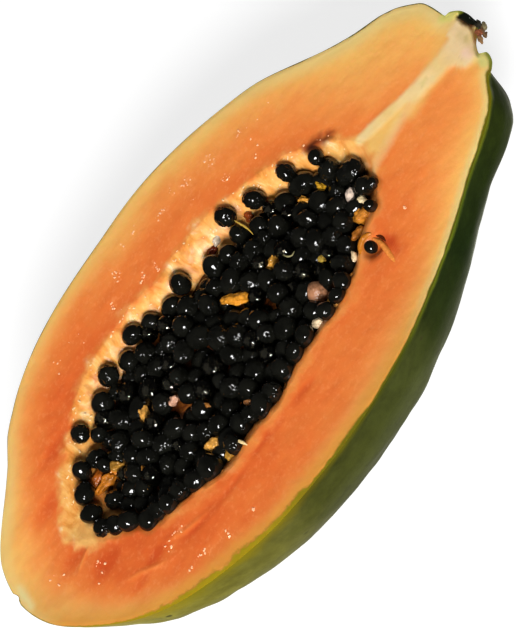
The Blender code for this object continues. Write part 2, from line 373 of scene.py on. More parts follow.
def face_relief(points, rim, lining, marks):
    """Height of the cut face over its plane, in millimetres."""
    flat = points * [0.45, 1.0, 0.0]
    waves = 0.14 * noise(flat, 16, 5) + 0.09 * noise(flat, 6, 6) + 0.07 * noise(points, 2.6, 7) - 0.1
    z = waves * smooth(0, 5, lining) + np.minimum(marks, 1.0) * smooth(0, 1.5, lining)
    return z * smooth(0, 2, rim) - RIM_DROP * smooth(1.4, 0, rim)


# The black, dried scar on the stub: x, y, half width.
DRY_SCAR = [(105.4, 0.2, 0.9), (106.3, -1.4, 1.7), (106.6, -3.4, 1.7), (107, -5.2, 1.3), (107.2, -6.6, 0.7)]
# Marks by the stalk: colour, softness, strength, raggedness, and (x, y, half width) along a line.
STALK_MARKS = [
    ((205, 198, 108), 1, 0.9, 0.3, [(102.4, 4.6, 1.5), (103.6, 2.9, 1.4), (105.2, 1.8, 0.9)]),
    ((100, 108, 36), 0.6, 0.9, 0.2, [
        (103.3, 4.8, 0.2), (105, 3.9, 0.3), (106.4, 2.3, 0.35), (107.2, 0.8, 0.3),
    ]),
    ((206, 196, 116), 0.9, 0.95, 0.3, [(101.1, -15, 1.3), (99.9, -17.2, 1.7)]),
    ((108, 120, 40), 0.8, 0.95, 0.15, [
        (102, -13.2, 0.4), (102.8, -15.6, 0.8), (102.3, -18.2, 1.1), (100.6, -20.8, 1.1),
    ]),
    ((110, 88, 24), 1.3, 0.7, 0.1, [(99.6, -21.6, 0.8), (98.5, -20.4, 0.5)]),
    ((238, 200, 176), 1.4, 0.8, 0.4, [(100.8, -9.7, 1.2), (98.8, -9.8, 1.4), (99.4, -11.8, 1)]),
    ((204, 190, 112), 1.1, 0.6, 0.3, [(85.2, -3.9, 0.5), (84.4, -4.1, 0.4)]),
    ((184, 166, 88), 1, 0.75, 0.3, [(102.3, -6.6, 0.4), (101.6, -7.2, 0.5)]),
    ((198, 168, 112), 1.6, 0.6, 0.6, [(102, -3.6, 1), (101.4, -8, 1.2), (100.8, -11.6, 0.8)]),
    ((140, 98, 42), 0.45, 0.9, 0.4, [
        (104.6, -0.2, 0.3), (104.6, -2.2, 0.5), (105.2, -4.4, 0.6), (105, -6.2, 0.6),
    ]),
    ((116, 78, 36), 0.5, 0.9, 0.3, [
        (105.6, -4.6, 0.5), (104.8, -7.4, 0.8), (103.5, -9, 0.7), (102.4, -10.8, 0.4), (101.2, -13.8, 0.3),
    ]),
    ((16, 19, 13), 0.4, 1, 0.3, DRY_SCAR),
]
# Others: a bruise by the hollow, a reddish and a brown place round the lone seed, a pale scar at the tip.
FACE_MARKS = [
    ((140, 54, 18), 1.6, 0.9, 1, [(47, 16.6, 0.6), (50, 15.4, 1.5), (53.4, 13.8, 1.4), (57.6, 11, 0.7)]),
    ((66, 24, 8), 1.2, 0.9, 0.6, [(47.8, 16, 0.6), (50, 15, 0.9), (51.6, 14.4, 0.4)]),
    ((104, 58, 20), 1.2, 0.8, 0.6, [(53.4, 12.6, 0.5), (55.6, 11.2, 0.6)]),
    ((186, 60, 20), 2, 0.85, 0.5, [(44.4, -27, 1), (44.9, -29.8, 1.7), (44.2, -32.8, 0.8)]),
    ((112, 42, 10), 1.5, 0.8, 0.1, [
        (37.2, -25.6, 0.6), (38, -28.2, 0.7), (40, -29.4, 0.6), (42, -28.2, 0.5),
    ]),
    ((214, 208, 150), 1.8, 0.75, 0.4, [(-106.2, 2.2, 0.8), (-106.4, -0.8, 1.4), (-107, -5.4, 1)]),
]
SOCKET = (40.2, -25.6, 2.8)  # x, y and radius of the place the lone seed lies in

# Depths of marks in the surface, and how high wet pulp stands against a seed, in millimetres.
SOCKET_DEPTH = 2.6
SCAR_DEPTH = 0.9
NICK_DEPTH = 1.1
RIM_DROP = 0.25  # the cut face ends this much lower at the skin
PULP_RISE = 0.35
LINING_SHORT = 3.2  # how far the lining's yellow stays back at the blossom end's near side


def painted(points, marks):
    """Linear colour and strength of the marks at each point, each mark over those before it."""
    paint = np.zeros((len(points), 4))
    for number, (colour, soft, strength, ragged, line) in enumerate(marks):
        shift = [noise(points, 2.0, 50 + number), noise(points, 2.0, 80 + number), 0 * points[:, 0]]
        over = strength * band(points + ragged * np.column_stack(shift), line, soft)
        total = over + paint[:, 3] * (1 - over)
        share = (over / np.maximum(total, 1e-6))[:, None]
        paint[:, :3] = np.array(shown(*colour)[:3]) * share + paint[:, :3] * (1 - share)
        paint[:, 3] = total
    return paint


def folded_rings(stations, around):
    """The points used, the faces and each face's place on its ring, for a surface of equal rings of points.
    The first and last rings are folded flat: around says which place each of theirs shares a point with."""
    ring = len(around)
    ids = np.arange(stations * ring).reshape(stations, ring)
    for row in (0, -1):
        ids[row] = ids[row][around]
    faces = []
    places = []
    for i in range(stations - 1):
        for j in range(ring):
            k = (j + 1) % ring
            face = [ids[i, j], ids[i, k], ids[i + 1, k], ids[i + 1, j]]
            face = [v for n, v in enumerate(face) if v != face[n - 1]]
            if len(face) > 2:
                faces.append(face)
                places.append(j)
    used = np.unique(ids)
    new = np.zeros(stations * ring, int)
    new[used] = np.arange(len(used))
    return used, [[new[v] for v in face] for face in faces], places


def make_fruit(seeds, radii):
    """Flesh and skin in one mesh: rings of skin, far strip of the cut face, hollow's wall and near strip."""
    skin = skin_sections(through(fruit_rows(), STATIONS))
    wall = wall_sections(uneven(through(hollow_rows(), STATIONS)))
    far = strip(skin[:, -1], wall[:, 0])
    near = strip(wall[:, -1], skin[:, 0])
    ring = np.concatenate([skin, far, wall, near], axis=1)

    # The end rings are flat: skin and wall are one point each, and the far strip lies on the near one.
    sizes = [part.shape[1] for part in (skin, far, wall, near)]
    far_start, wall_start, near_start, _ = np.cumsum(sizes)
    around = np.arange(ring.shape[1])
    around[:far_start] = 0
    around[wall_start:near_start] = wall_start
    around[near_start:] = np.arange(far_start, wall_start)[::-1]

    points = ring.reshape(-1, 3)
    x, y = points[:, 0], points[:, 1]
    part = np.tile(np.repeat(["skin", "face", "wall", "face"], sizes), STATIONS)
    on_skin, on_face, on_wall = (part == name for name in ("skin", "face", "wall"))
    outline = np.vstack([skin[:, -1], skin[::-1, 0], skin[:1, -1]])
    lip = np.vstack([wall[:, 0], wall[::-1, -1], wall[:1, 0]])

    # How far each point lies in from the rim (under it on the skin) and off the lining (below 0 inside it).
    rim = np.full(len(points), FAR_OFF)
    rim[on_face] = off_line(points[on_face], outline)[0]
    rim[on_skin] = points[on_skin, 2] - CUT
    lining = np.zeros(len(points))
    lining[on_face] = off_line(points[on_face], lip)[0]
    lining[on_wall] = -off_line(points[on_wall], lip)[0]
    lining -= LINING_OVER * smooth(6, -10, y)
    lining += LINING_SHORT * smooth(-60, -68, x) * smooth(-10, -17, y)
    lining[on_skin] = FAR_OFF

    traits, marks = face_traits(points, rim)
    paint = painted(points, STALK_MARKS + FACE_MARKS)
    paint[on_wall, 3] *= x[on_wall] > 20
    paint[on_skin, 3] *= smooth(97, 100, x[on_skin]) * smooth(-3.0, -0.8, rim[on_skin])
    # Wet pulp rises against the seeds that touch the wall.
    inside = lining < 3
    gap = np.full(len(points), FAR_OFF)
    here = points[inside] - [0, 0, CUT]
    gap[inside] = (np.linalg.norm(here[:, None] - seeds[None], axis=2) - radii).min(1)
    points[inside, 2] += (PULP_RISE * smooth(1.2, 0, gap) * smooth(0.5, -2, lining))[inside]
    off_socket = np.hypot(x - SOCKET[0], y - SOCKET[1])
    points[:, 2] -= SOCKET_DEPTH * smooth(SOCKET[2] + 1.0, 0.5, off_socket) * ~on_skin
    points[on_face, 2] += face_relief(points[on_face], rim[on_face], lining[on_face], marks[on_face])
    points[on_skin & (rim > -1e-6), 2] -= RIM_DROP
    # The dried scar is sunk, and a nick parts the skin at the blossom tip.
    points[on_face, 2] -= SCAR_DEPTH * band(points, DRY_SCAR, 0.8)[on_face]
    off_nick = np.linalg.norm(points - [CHIP[0], CHIP[1], CUT], axis=1)
    points[:, 0] += NICK_DEPTH * smooth(CHIP[2], 0, off_nick)

    used, faces, places = folded_rings(STATIONS, around)
    made = new_mesh("papaya_fruit", points[used], faces)
    # Nearness to a seed is kept too, for the painted contact shadow and brown stain round the seeds.
    for name, values in {"rim": rim, "lining": lining, "seed_stain_and_shadow": smooth(2.1, -0.3, gap), **traits}.items():
        add_attribute(made, name, "FLOAT", "value", values[used])
    add_attribute(made, "paint", "FLOAT_COLOR", "color", paint[used])
    made.data.materials.append(flesh_material())
    made.data.materials.append(skin_material())
    # A face belongs to the skin when its place on the ring lies before the skin's last row.
    made.data.polygons.foreach_set("material_index", [1 if place < far_start - 1 else 0 for place in places])
    part_skin(made)
    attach(made, "root")
    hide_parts("papaya_half")


# ---------------------------------------------------------------- meshes and materials


def part_skin(made):
    """Shade the skin and the flesh apart where they meet."""
    form = bmesh.new()
    form.from_mesh(made.data)
    for edge in form.edges:
        edge.smooth = len({face.material_index for face in edge.link_faces}) < 2
    form.to_mesh(made.data)
    form.free()


def in_scene(name, data):
    """A new object in the scene."""
    made = bpy.data.objects.new(name, data)
    bpy.context.scene.collection.objects.link(made)
    return made


def new_mesh(name, points, faces, smooth_faces=True):
    """An object in the scene from points in millimetres and faces."""
    mesh = bpy.data.meshes.new(name)
    mesh.from_pydata([tuple(p) for p in points * MM], [], faces)
    if smooth_faces:
        mesh.shade_smooth()
    return in_scene(name, mesh)


def add_attribute(made, name, kind, field, values):
    """Keep a value for each point on the mesh, where its material reads it."""
    layer = made.data.attributes.new(name, kind, "POINT")
    layer.data.foreach_set(field, np.asarray(values, np.float32).ravel())


def joined(name, parts, colours=None):
    """One mesh of many closed parts, each its points and faces, with a display colour of each kept on it."""
    faces = []
    count = 0
    for points, part_faces in parts:
        faces += [[v + count for v in face] for face in part_faces]
        count += len(points)
    made = new_mesh(name, np.vstack([points for points, _ in parts]), faces)
    if colours:
        tints = [np.tile(shown(*colour), (len(points), 1)) for colour, (points, _) in zip(colours, parts)]
        add_attribute(made, "tint", "FLOAT_COLOR", "color", np.vstack(tints))
    return made


def ring_faces(count, around):
    """Faces of a tube made of so many rings of points, closed at both ends."""
    last = (count - 1) * around
    faces = []
    for i in range(0, last, around):
        for j in range(around):
            k = (j + 1) % around
            faces.append([i + j, i + k, i + around + k, i + around + j])
    return [*faces, list(range(around))[::-1], list(range(last, last + around))]


def belongs(made, material):
    """Give a piece its material and its place in the record."""
    made.data.materials.append(material)
    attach(made, "root")
    return made


def shown(red, green, blue):
    """Linear colour of an 8-bit display colour."""
    c = np.array([red, green, blue]) / 255
    return tuple(np.where(c <= 0.04045, c / 12.92, ((c + 0.055) / 1.055) ** 2.4)) + (1.0,)


class Nodes:
    """Short ways to write a material's node tree."""

    def __init__(self, name):
        self.material = bpy.data.materials.new(name)
        self.material.use_nodes = True
        self.tree = self.material.node_tree
        self.shader = self.tree.nodes["Principled BSDF"]
        self.position = self.add("TexCoord", output=3)

    def add(self, kind, inputs=None, output=0, **settings):
        node = self.tree.nodes.new("ShaderNode" + kind)
        for key, value in settings.items():
            setattr(node, key, value)
        for key, value in (inputs or {}).items():
            self.put(node.inputs[key], value)
        return node.outputs[output]

    def put(self, socket, value):
        """Feed a socket: another socket, the name of a mesh attribute, a display colour, or a plain value."""
        if isinstance(value, str):
            value = self.add("Attribute", attribute_name=value, output=2)
        if isinstance(value, bpy.types.NodeSocket):
            self.tree.links.new(value, socket)
        elif socket.type == "RGBA" and len(value) == 3:
            socket.default_value = shown(*value)
        else:
            socket.default_value = value

    def set(self, **inputs):
        for key, value in inputs.items():
            self.put(self.shader.inputs[key.replace("_", " ")], value)

    def noise(self, scale, detail=2.0, rough=0.5, distortion=0.0, stretch=None):
        """Noise on the piece. Where stretch has less than 1, it is drawn out along that axis."""
        at = self.position
        if stretch:
            at = self.add("VectorMath", {0: at, 1: stretch}, operation="MULTIPLY")
        inputs = {"Vector": at, "Scale": scale, "Detail": detail, "Roughness": rough}
        return self.add("TexNoise", {**inputs, "Distortion": distortion})

    def math(self, operation, first, *others):
        """The operation on the first two values, then on what comes out and the next, and so on."""
        for other in others:
            first = self.add("Math", {0: first, 1: other}, operation=operation)
        return first

    def plus(self, *values):
        return self.math("ADD", *values)

    def times(self, *values):
        return self.math("MULTIPLY", *values)

    def around_zero(self, noise, size):
        return self.times(self.math("SUBTRACT", noise, 0.5), size)

    def step(self, value, low, high, to_low=0.0, to_high=1.0):
        inputs = {"Value": value, "From Min": low, "From Max": high, "To Min": to_low, "To Max": to_high}
        return self.add("MapRange", inputs, interpolation_type="SMOOTHSTEP")

    def ramp(self, factor, stops):
        """Display colours at growing values of the factor."""
        node = self.tree.nodes.new("ShaderNodeValToRGB")
        elements = node.color_ramp.elements
        while len(elements) < len(stops):
            elements.new(0.5)
        for element, (at, colour) in zip(elements, stops.items()):
            element.position = at
            element.color = shown(*colour)
        self.put(node.inputs[0], factor)
        return node.outputs[0]

    def mix(self, factor, a, b, mode="MIX"):
        inputs = {0: factor, 6: a, 7: b}
        return self.add("Mix", inputs, output=2, data_type="RGBA", blend_type=mode)

    def shaded(self, colour, shade):
        """The colour made lighter or darker."""
        grey = self.add("CombineColor", {0: shade, 1: shade, 2: shade})
        return self.mix(1.0, colour, grey, "MULTIPLY")

    def over_paint(self, colour):
        """The colour with the marks stored on the mesh laid over it."""
        paint = self.add("Attribute", attribute_name="paint")
        return self.mix(paint.node.outputs[3], colour, paint)

    def bump(self, height, strength, distance, **normal):
        return self.add("Bump", {"Height": height, "Strength": strength, "Distance": distance, **normal})


def flesh_material():
    n = Nodes("flesh")
    fine = n.noise(420, 4, 0.6, stretch=(0.7, 1, 1))
    mottle = n.noise(95, 3, 0.55, stretch=(0.7, 1, 1))
    cloudy = n.noise(230, 2, 0.5, stretch=(0.8, 1, 1))
    streaks = n.noise(300, 3, 0.6, stretch=(0.3, 1, 1))
    specks = n.noise(800, 2, 0.5)
    clouds = n.plus(n.around_zero(cloudy, 0.16), n.around_zero(fine, 0.1))
    tone = n.plus("ripe", n.around_zero(mottle, 0.2), clouds, n.around_zero(streaks, 0.2))
    ripening = {
        0.0: (238, 188, 98), 0.2: (241, 170, 86), 0.4: (240, 149, 72), 0.6: (234, 126, 55),
        0.8: (226, 105, 41), 1.0: (210, 82, 28),
    }
    colour = n.ramp(n.math("DIVIDE", tone, 1.25), ripening)
    # Small paler flecks of pulp, and many more round the clusters of beads as a painted glow about their
    # glints.
    flecks_and_glow = n.times(n.step(specks, 0.5, 0.72), n.step("glint_glow", 0.0, 1.0, 0.16, 0.42))
    colour = n.mix(flecks_and_glow, colour, (252, 170, 108))
    colour = n.mix("yellow", colour, n.ramp(mottle, {0.3: (238, 176, 92), 0.7: (240, 192, 106)}))
    # The lining: yellower, with whitish fibres running down it, darker far down, and round the seeds a brown
    # wet stain with painted contact shadow, darkest on the wall.
    fibres = n.noise(260, 5, 0.6, 0.6, stretch=(1, 0.55, 0.55))
    fibre_tones = {0.3: (204, 122, 44), 0.44: (230, 156, 74), 0.58: (240, 182, 102), 0.7: (250, 222, 168)}
    lined = n.ramp(fibres, fibre_tones)
    amber = n.step(n.noise(170, 3, 0.6, stretch=(1, 0.7, 0.7)), 0.55, 0.68, 0.0, 0.6)
    lined = n.mix(amber, lined, (196, 118, 40))
    lined = n.mix(n.times("near_side", 0.85), lined, (232, 138, 64))
    ragged = [n.around_zero(mottle, 8.0), n.around_zero(cloudy, 7.0), n.around_zero(specks, 1.2)]
    in_lining = n.step(n.plus("lining", *ragged), 2.2, -2.4)
    colour = n.mix(in_lining, colour, lined)
    colour = n.mix(n.step("lining", -5.0, -11.0, 0.0, 0.55), colour, (196, 112, 44))
    # Painted light on the blossom end's lining, lifting it where its slope lies in shade.
    colour = n.mix(n.times("end_painted_light", in_lining), colour, (255, 198, 114))
    # Round the seeds: a brown wet stain and painted contact shadow in one, dark brown on the wall.
    stain_and_shadow = n.times("seed_stain_and_shadow", n.step(fine, 0.3, 0.6, 0.5, 0.85))
    colour = n.mix(stain_and_shadow, colour, n.mix(n.step("lining", 0.0, -5.0), (176, 92, 30), (84, 38, 12)))
    # The core, paler at the stub.
    cream = n.ramp(mottle, {0.3: (232, 186, 108), 0.5: (236, 200, 130), 0.7: (238, 207, 146)})
    cream = n.mix("stub", cream, n.ramp(mottle, {0.3: (230, 198, 144), 0.7: (236, 208, 164)}))
    colour = n.mix("core", colour, cream)
    # The rim: pale or, on the near side, deeper yellow flesh, and the skin's thickness outside it.
    colour = n.mix("pale", colour, (224, 198, 126))
    colour = n.mix("warm", colour, (226, 142, 38))
    # Painted shade: the near side darker, as the shade attribute says.
    colour = n.shaded(colour, "shade")
    torn = n.times(n.around_zero(specks, 1.7), "edge_yellow")
    ragged_edge = n.plus("edge", n.around_zero(mottle, 0.6), torn)
    colour = n.mix(n.step(ragged_edge, 1.8, 1.1, 0.0, 0.35), colour, (118, 88, 14))
    green = n.mix("edge_yellow", (60, 70, 8), (154, 132, 8))
    colour = n.over_paint(n.mix(n.step(ragged_edge, 1.4, 0.7), colour, green))
    dry = n.step(fine, 0.3, 0.7, 0.32, 0.46)
    wet = n.step(fine, 0.35, 0.65, 0.26, 0.46)
    wetness = n.times(in_lining, n.step("near_side", 0.0, 1.0, 1.0, 0.3))
    roughness = n.add("MapRange", {"Value": wetness, "To Min": dry, "To Max": wet})
    n.set(Base_Color=colour, Roughness=roughness, IOR=1.36, Specular_IOR_Level=0.38)
    n.set(Subsurface_Weight=0.2, Subsurface_Scale=0.002, Subsurface_Radius=(1.0, 0.4, 0.15))
    height = n.plus(n.times(cloudy, 0.7), n.times(fine, 0.4), n.times(fibres, in_lining, 1.2))
    n.set(Normal=n.bump(height, 0.4, 0.0006))
    return n.material


# The skin's colours by how far along the fruit they are, from 0 at the blossom tip to 1: the skin itself, and
# the band just under the cut.
SKIN_TONES = {
    0.05: (158, 148, 70), 0.115: (126, 118, 44), 0.19: (106, 100, 32), 0.26: (101, 97, 35),
    0.34: (84, 82, 32), 0.41: (58, 60, 19), 0.56: (53, 57, 19), 0.64: (56, 61, 22), 0.71: (36, 43, 11),
    0.79: (27, 40, 9), 0.95: (38, 48, 9),
}
BAND_TONES = {
    0.115: (141, 121, 20), 0.19: (115, 104, 2), 0.34: (114, 100, 2), 0.41: (82, 74, 3), 0.49: (87, 82, 3),
    0.56: (68, 68, 3), 0.64: (60, 66, 3), 0.71: (84, 92, 8), 0.79: (96, 106, 12), 0.86: (78, 92, 9),
    0.95: (100, 106, 9),
}


def skin_material():
    n = Nodes("skin")
    along = n.add("SeparateXYZ", {0: n.position})
    patches = n.noise(34, 4, 0.6, 0.4, stretch=(0.4, 1, 1))
    flecks = n.noise(190, 3, 0.6, stretch=(0.5, 1, 1))
    fine = n.noise(620, 3, 0.6)
    share = n.math("DIVIDE", n.plus(along, 0.105), 0.2)
    colour = n.ramp(n.plus(share, n.around_zero(patches, 0.16), n.around_zero(flecks, 0.06)), SKIN_TONES)
    mottled = n.plus(n.around_zero(n.noise(150, 2, 0.5), 0.5), n.around_zero(n.noise(480, 2, 0.6), 0.34))
    colour = n.shaded(colour, n.step(n.plus(patches, mottled), 0.2, 0.8, 0.68, 1.32))
    # Painted bounce light from the floor: the skin a little lighter from 10 mm under the cut downward.
    colour = n.mix(n.step("rim", -10.0, -24.0, 0.0, 0.05), colour, (200, 204, 160))
    # Yellower just under the cut, in a band that widens toward the blossom end.
    reach = {"Value": along, "From Min": -0.09, "From Max": 0.03, "To Min": -6.0, "To Max": -1.6}
    reach = n.add("MapRange", reach)
    ragged = n.plus(n.math("DIVIDE", "rim", reach), n.around_zero(flecks, 1.6))
    colour = n.mix(n.step(ragged, 1.5, 0.0, 0.0, 0.95), colour, n.ramp(share, BAND_TONES))
    colour = n.mix(n.step(n.noise(150, 1, 0.3), 0.745, 0.80, 0.0, 0.8), colour, (48, 44, 22))
    colour = n.over_paint(colour)
    n.set(Base_Color=colour, Roughness=n.step(fine, 0.3, 0.7, 0.38, 0.52), IOR=1.35, Specular_IOR_Level=0.12)
    n.set(Sheen_Weight=0.13, Sheen_Roughness=0.2, Sheen_Tint=(1.0, 1.0, 0.8, 1.0))
    n.set(Normal=n.bump(n.plus(fine, flecks), 0.2, 0.0003))
    return n.material


# ---------------------------------------------------------------- the seeds

HEAP_MIDDLE = (-9.0, -2.0)
HEAP_REACH = (66.0, 38.0)
HEAP_CROWN = 1.9  # the smooth top's height over the cut face in the middle
HEAP_FOOT = -1.4  # and at its reach
HEAP_UNEVEN = 0.9
HEAP_CLEAR = 0.3  # every seed's middle stays this much more than its radius under the CAD heap's top
HEAP_BAND = 10.0  # the loose seeds lie in a band this thick
LOOSE_SEEDS = 215
LOOSE_X = (-74, 54)
LOOSE_Y = (-31, 26)
LOOSE_RADIUS = (3.3, 0.36)  # mean and spread
LOOSE_LIFT = (-3.4, 0.5)  # how far over the heap's smooth top a loose seed may rise
RADIUS_LIMITS = (2.4, 4.1)
BIT_ROOM = 0.8  # what a bit keeps free, as a share of its largest half size
PACK_TURNS = 260
RISE_TURNS = 200  # the loose seeds drift up during the first of those
RISE_STEP = 0.1
PUSH_SHARE = 0.35  # of an overlap, taken away in one turn
SEED_TOUCH = 0.93  # how near two seeds may come, as a share of their radii
WALL_TOUCH = 0.95  # and a seed and the wall

# Seeds told apart one by one: x and y where each shows on the plane of the cut face, its radius, and whether
# it is smooth (s), wrinkled (w) or in a clear sac (c).
PLACED = [
    (-71.5, 4, 3.3, "s"), (-67.6, 10, 3.1, "s"), (-60.2, 19.5, 3, "w"), (-56.4, 13.6, 2.6, "s"),
    (-61.8, 8.4, 3.2, "w"), (-49.2, 19.6, 3.7, "s"), (-51.7, 15.2, 3.4, "c"), (-41.8, 24.2, 3.5, "w"),
    (-34.2, 21.6, 3.6, "s"), (-27.8, 26.6, 3.1, "s"), (-24, 21.8, 2.9, "c"), (-21, 23.6, 3, "s"),
    (-18.4, 17.8, 3.2, "c"), (-13.4, 21, 3.1, "s"), (-6.5, 23.4, 3.5, "s"), (4.2, 17, 3.6, "s"),
    (10, 15.6, 3, "s"), (17.6, 25.2, 3.4, "w"), (16.8, 16.4, 3.2, "s"), (27, 20.2, 3.2, "w"),
    (22.6, 12, 3.2, "s"), (28.6, 12.4, 3, "c"), (32.6, 10, 3.3, "s"), (39.2, 16.8, 2.9, "w"),
    (40.2, 9.2, 3.9, "s"), (48.4, 11.2, 2.5, "s"), (48.6, 4.4, 3.4, "w"), (53, -3, 3.5, "w"),
    (51.6, -9.8, 3.2, "s"), (48.4, -16, 2, "s"), (53.2, -11.4, 2, "w"), (-35.4, 7, 4.5, "c"),
    (-74, -2.6, 3, "s"), (-74, -9.2, 3, "w"), (-70.8, -12.6, 2.9, "s"), (-66.8, -15.8, 3.4, "s"),
    (-62.2, -21.4, 3.4, "s"), (-58.4, -21.6, 3.2, "w"), (-54.4, -23.2, 3.1, "s"), (-49.4, -23.8, 3.4, "w"),
    (-44.2, -26, 3.4, "s"), (-38.2, -27.4, 4.2, "s"), (-28.6, -29, 3, "w"), (-22.8, -26.6, 3.2, "s"),
    (-18.6, -27.6, 3, "w"), (-14.6, -28.6, 3.6, "s"), (-9.6, -28.6, 3.2, "w"), (-3, -27, 3.6, "s"),
    (3, -26.4, 3.4, "s"), (8.4, -25.6, 3.2, "s"), (17.8, -26.2, 2.8, "s"), (31.2, -21, 3.3, "w"),
    (23.2, -26, 2.4, "s"), (27.2, -24.4, 2.8, "s"), (-52.6, -12.4, 3.4, "c"), (-38, -8.2, 3.4, "s"),
    (-23.6, -8.6, 3.3, "c"), (-53, 5.4, 3.3, "w"), (4.8, 8.2, 3.8, "s"), (-5.2, -6, 3.5, "w"),
    (16.4, 8.4, 3.6, "w"), (22.4, -1, 3.3, "c"), (30.6, -7.8, 3.4, "s"), (40, -11.6, 3.3, "s"),
    (33.6, -1.2, 3.2, "w"), (2.4, -9, 3.3, "s"), (12, -8.4, 3.4, "s"), (24.8, -20.2, 3.2, "s"),
]
# The seed in the socket: x and y where it shows, radius, height over the cut face.
LONE = (40.0, -25.1, 2.3, -2.1)
# How far the heap shows on the plane of the cut face, on its far and on its near side: x, y.
FAR_LIMIT = [
    (-77, -4), (-70, 6), (-64, 9), (-58, 15), (-50, 20), (-44, 23), (-28, 25), (-20, 22), (-10, 22),
    (-4, 18), (20, 16), (30, 15), (38, 12), (46, 8), (52, 2), (56, -6),
]
NEAR_LIMIT = [
    (-77, -8), (-75, -12), (-70, -16), (-64, -23), (-57, -26), (-50, -27.5), (-43, -30.5), (-38, -32),
    (-30, -32), (-22, -31), (-14, -32.5), (-8, -32), (0, -30.5), (10, -28.5), (20, -28.5), (28, -28),
    (33, -24.5), (38, -20), (44, -18.5), (50, -18), (54, -11), (57, -4),
]

# Bits of pulp and seeds that never filled out: x and y where each shows, height over the cut face, half
# sizes, turn about the vertical in degrees, colour, and how lumpy it is.
BITS = [
    (-66.4, 3.4, -3, (4.2, 1.8, 2), 25, (158, 80, 20), 0.4),
    (-64.6, 0.2, -2.4, (4.6, 1.7, 1.8), -5, (190, 112, 30), 0.5),
    (-59.4, 1, -1.8, (2.4, 1.4, 1.5), -30, (164, 116, 44), 0.35),
    (-53.8, -7.4, -1.8, (1, 1.7, 1.4), 20, (206, 138, 56), 0.3),
    (-56.4, -12.6, -1.8, (0.7, 1.5, 1), -10, (196, 136, 56), 0.3),
    (-41.6, 4.8, -1.6, (1.5, 3, 1.6), -28, (234, 168, 78), 0.3),
    (-33, -1.4, -1.2, (1.9, 1.3, 1.2), -15, (206, 154, 124), 0.35),
    (-32.8, -23.6, -1.4, (2.3, 2.2, 2.2), 35, (232, 166, 74), 0.35),
    (-30.6, -30, -1.6, (2.8, 1.6, 1.6), 10, (184, 134, 52), 0.25),
    (-57.8, -23.6, -1, (0.7, 1.7, 1), -20, (214, 132, 50), 0.3),
    (-17, -24, -0.4, (0.9, 1.2, 0.9), 10, (160, 104, 60), 0.4),
    (-26.2, -12.6, -0.8, (0.7, 1, 0.8), 10, (150, 96, 40), 0.3),
    (2.2, 2.6, -0.9, (4.6, 1.6, 1.6), -42, (222, 146, 44), 0.5),
    (17.4, 0.6, -0.8, (3.2, 0.9, 1.2), 8, (212, 150, 58), 0.5),
    (-1, 11, -1, (0.9, 1, 1), 0, (204, 164, 60), 0.3),
    (37, 4.8, -1.6, (1.3, 1.9, 1.5), 20, (204, 140, 52), 0.5),
    (43.2, 3.8, -1.6, (1.1, 2.3, 1.4), 20, (200, 148, 36), 0.4),
    (47, -7.6, -0.6, (1.3, 2.4, 1.3), -48, (228, 204, 184), 0.12),
    (47.8, -11.8, -1.2, (1.2, 2, 1.2), 40, (228, 204, 158), 0.2),
    (44.9, -14.9, -2.2, (2.2, 3, 1.7), -20, (206, 132, 42), 0.4),
    (28.2, -13.8, -0.6, (1.4, 0.9, 0.9), -30, (170, 140, 56), 0.4),
    (20, -19.8, -1, (3.3, 3.2, 3.2), 0, (162, 112, 80), 0.1),
    (14, -26.6, -1.2, (1.6, 2, 1.4), 30, (228, 200, 160), 0.3),
    (20.8, -26.4, -1.6, (1, 2, 1.2), 0, (222, 160, 72), 0.3),
    (27.4, -24, -1.6, (1.6, 1.6, 1.2), 0, (190, 128, 56), 0.5),
    (34.8, -22.4, -1, (0.8, 1.7, 1), -30, (232, 204, 160), 0.3),
    (36.8, -17.4, -1, (1.6, 0.9, 1), 30, (206, 190, 168), 0.5),
    (10.8, 22.6, -2.6, (2.2, 1, 1.2), 20, (206, 186, 160), 0.3),
    (-6.6, -32.4, -0.9, (1.4, 0.8, 0.8), 20, (232, 204, 164), 0.4),
    (7.4, 21.4, -3, (1.6, 1.2, 1.4), -20, (120, 42, 14), 0.3),
    (22.4, 18, -3, (1.5, 1.5, 1.4), -20, (140, 60, 20), 0.3),
]
# Shreds of pulp along the near edge of the hollow, wedged beside the seeds, in the same form.
SHREDS = [
    (46.6, -16.4, -1.2, (3.6, 1.4, 1.2), -16, (190, 118, 40), 0.4),
    (40.6, -18.6, -1, (2, 1.3, 1.2), -4, (168, 100, 34), 0.45),
    (30, -26.2, -0.2, (1.5, 0.7, 0.8), 30, (216, 142, 62), 0.4),
    (22.1, -28.2, -0.2, (2.2, 0.8, 0.9), 8, (230, 158, 78), 0.3),
    (9.6, -28.9, 0, (0.8, 1.1, 0.8), 0, (206, 190, 196), 0.3),
    (2.2, -30.9, 0, (1.2, 0.6, 0.7), -10, (196, 120, 50), 0.4),
    (-11.8, -33.3, 0, (1.3, 0.6, 0.7), 10, (180, 100, 42), 0.4),
    (-17.6, -33, 0, (1.6, 0.7, 0.8), 0, (150, 72, 28), 0.4),
    (-36.6, -32.6, 0, (1.5, 0.7, 0.8), 14, (208, 128, 58), 0.4),
    (-47, -29.6, 0, (1.4, 0.7, 0.8), 18, (196, 112, 48), 0.4),
]


def behind(x, y, height):
    """The point at this height over the cut face that shows at (x, y) of its plane from the camera."""
    slope = height / CAMERA_BACK.z
    return np.array([x + slope * CAMERA_BACK.x, y + slope * CAMERA_BACK.y, height])


def shows_at(at):
    """Where points (n, 3), with heights over the cut face, show on its plane."""
    slope = at[:, 2] / CAMERA_BACK.z
    return at[:, 0] - slope * CAMERA_BACK.x, at[:, 1] - slope * CAMERA_BACK.y


def hollow_at(x):
    """The hollow's middle, half width and depth at x."""
    far, near, depth = tabled(x, HOLLOW)
    return (far + near) / 2, np.maximum((far - near) / 2, 1e-3), depth


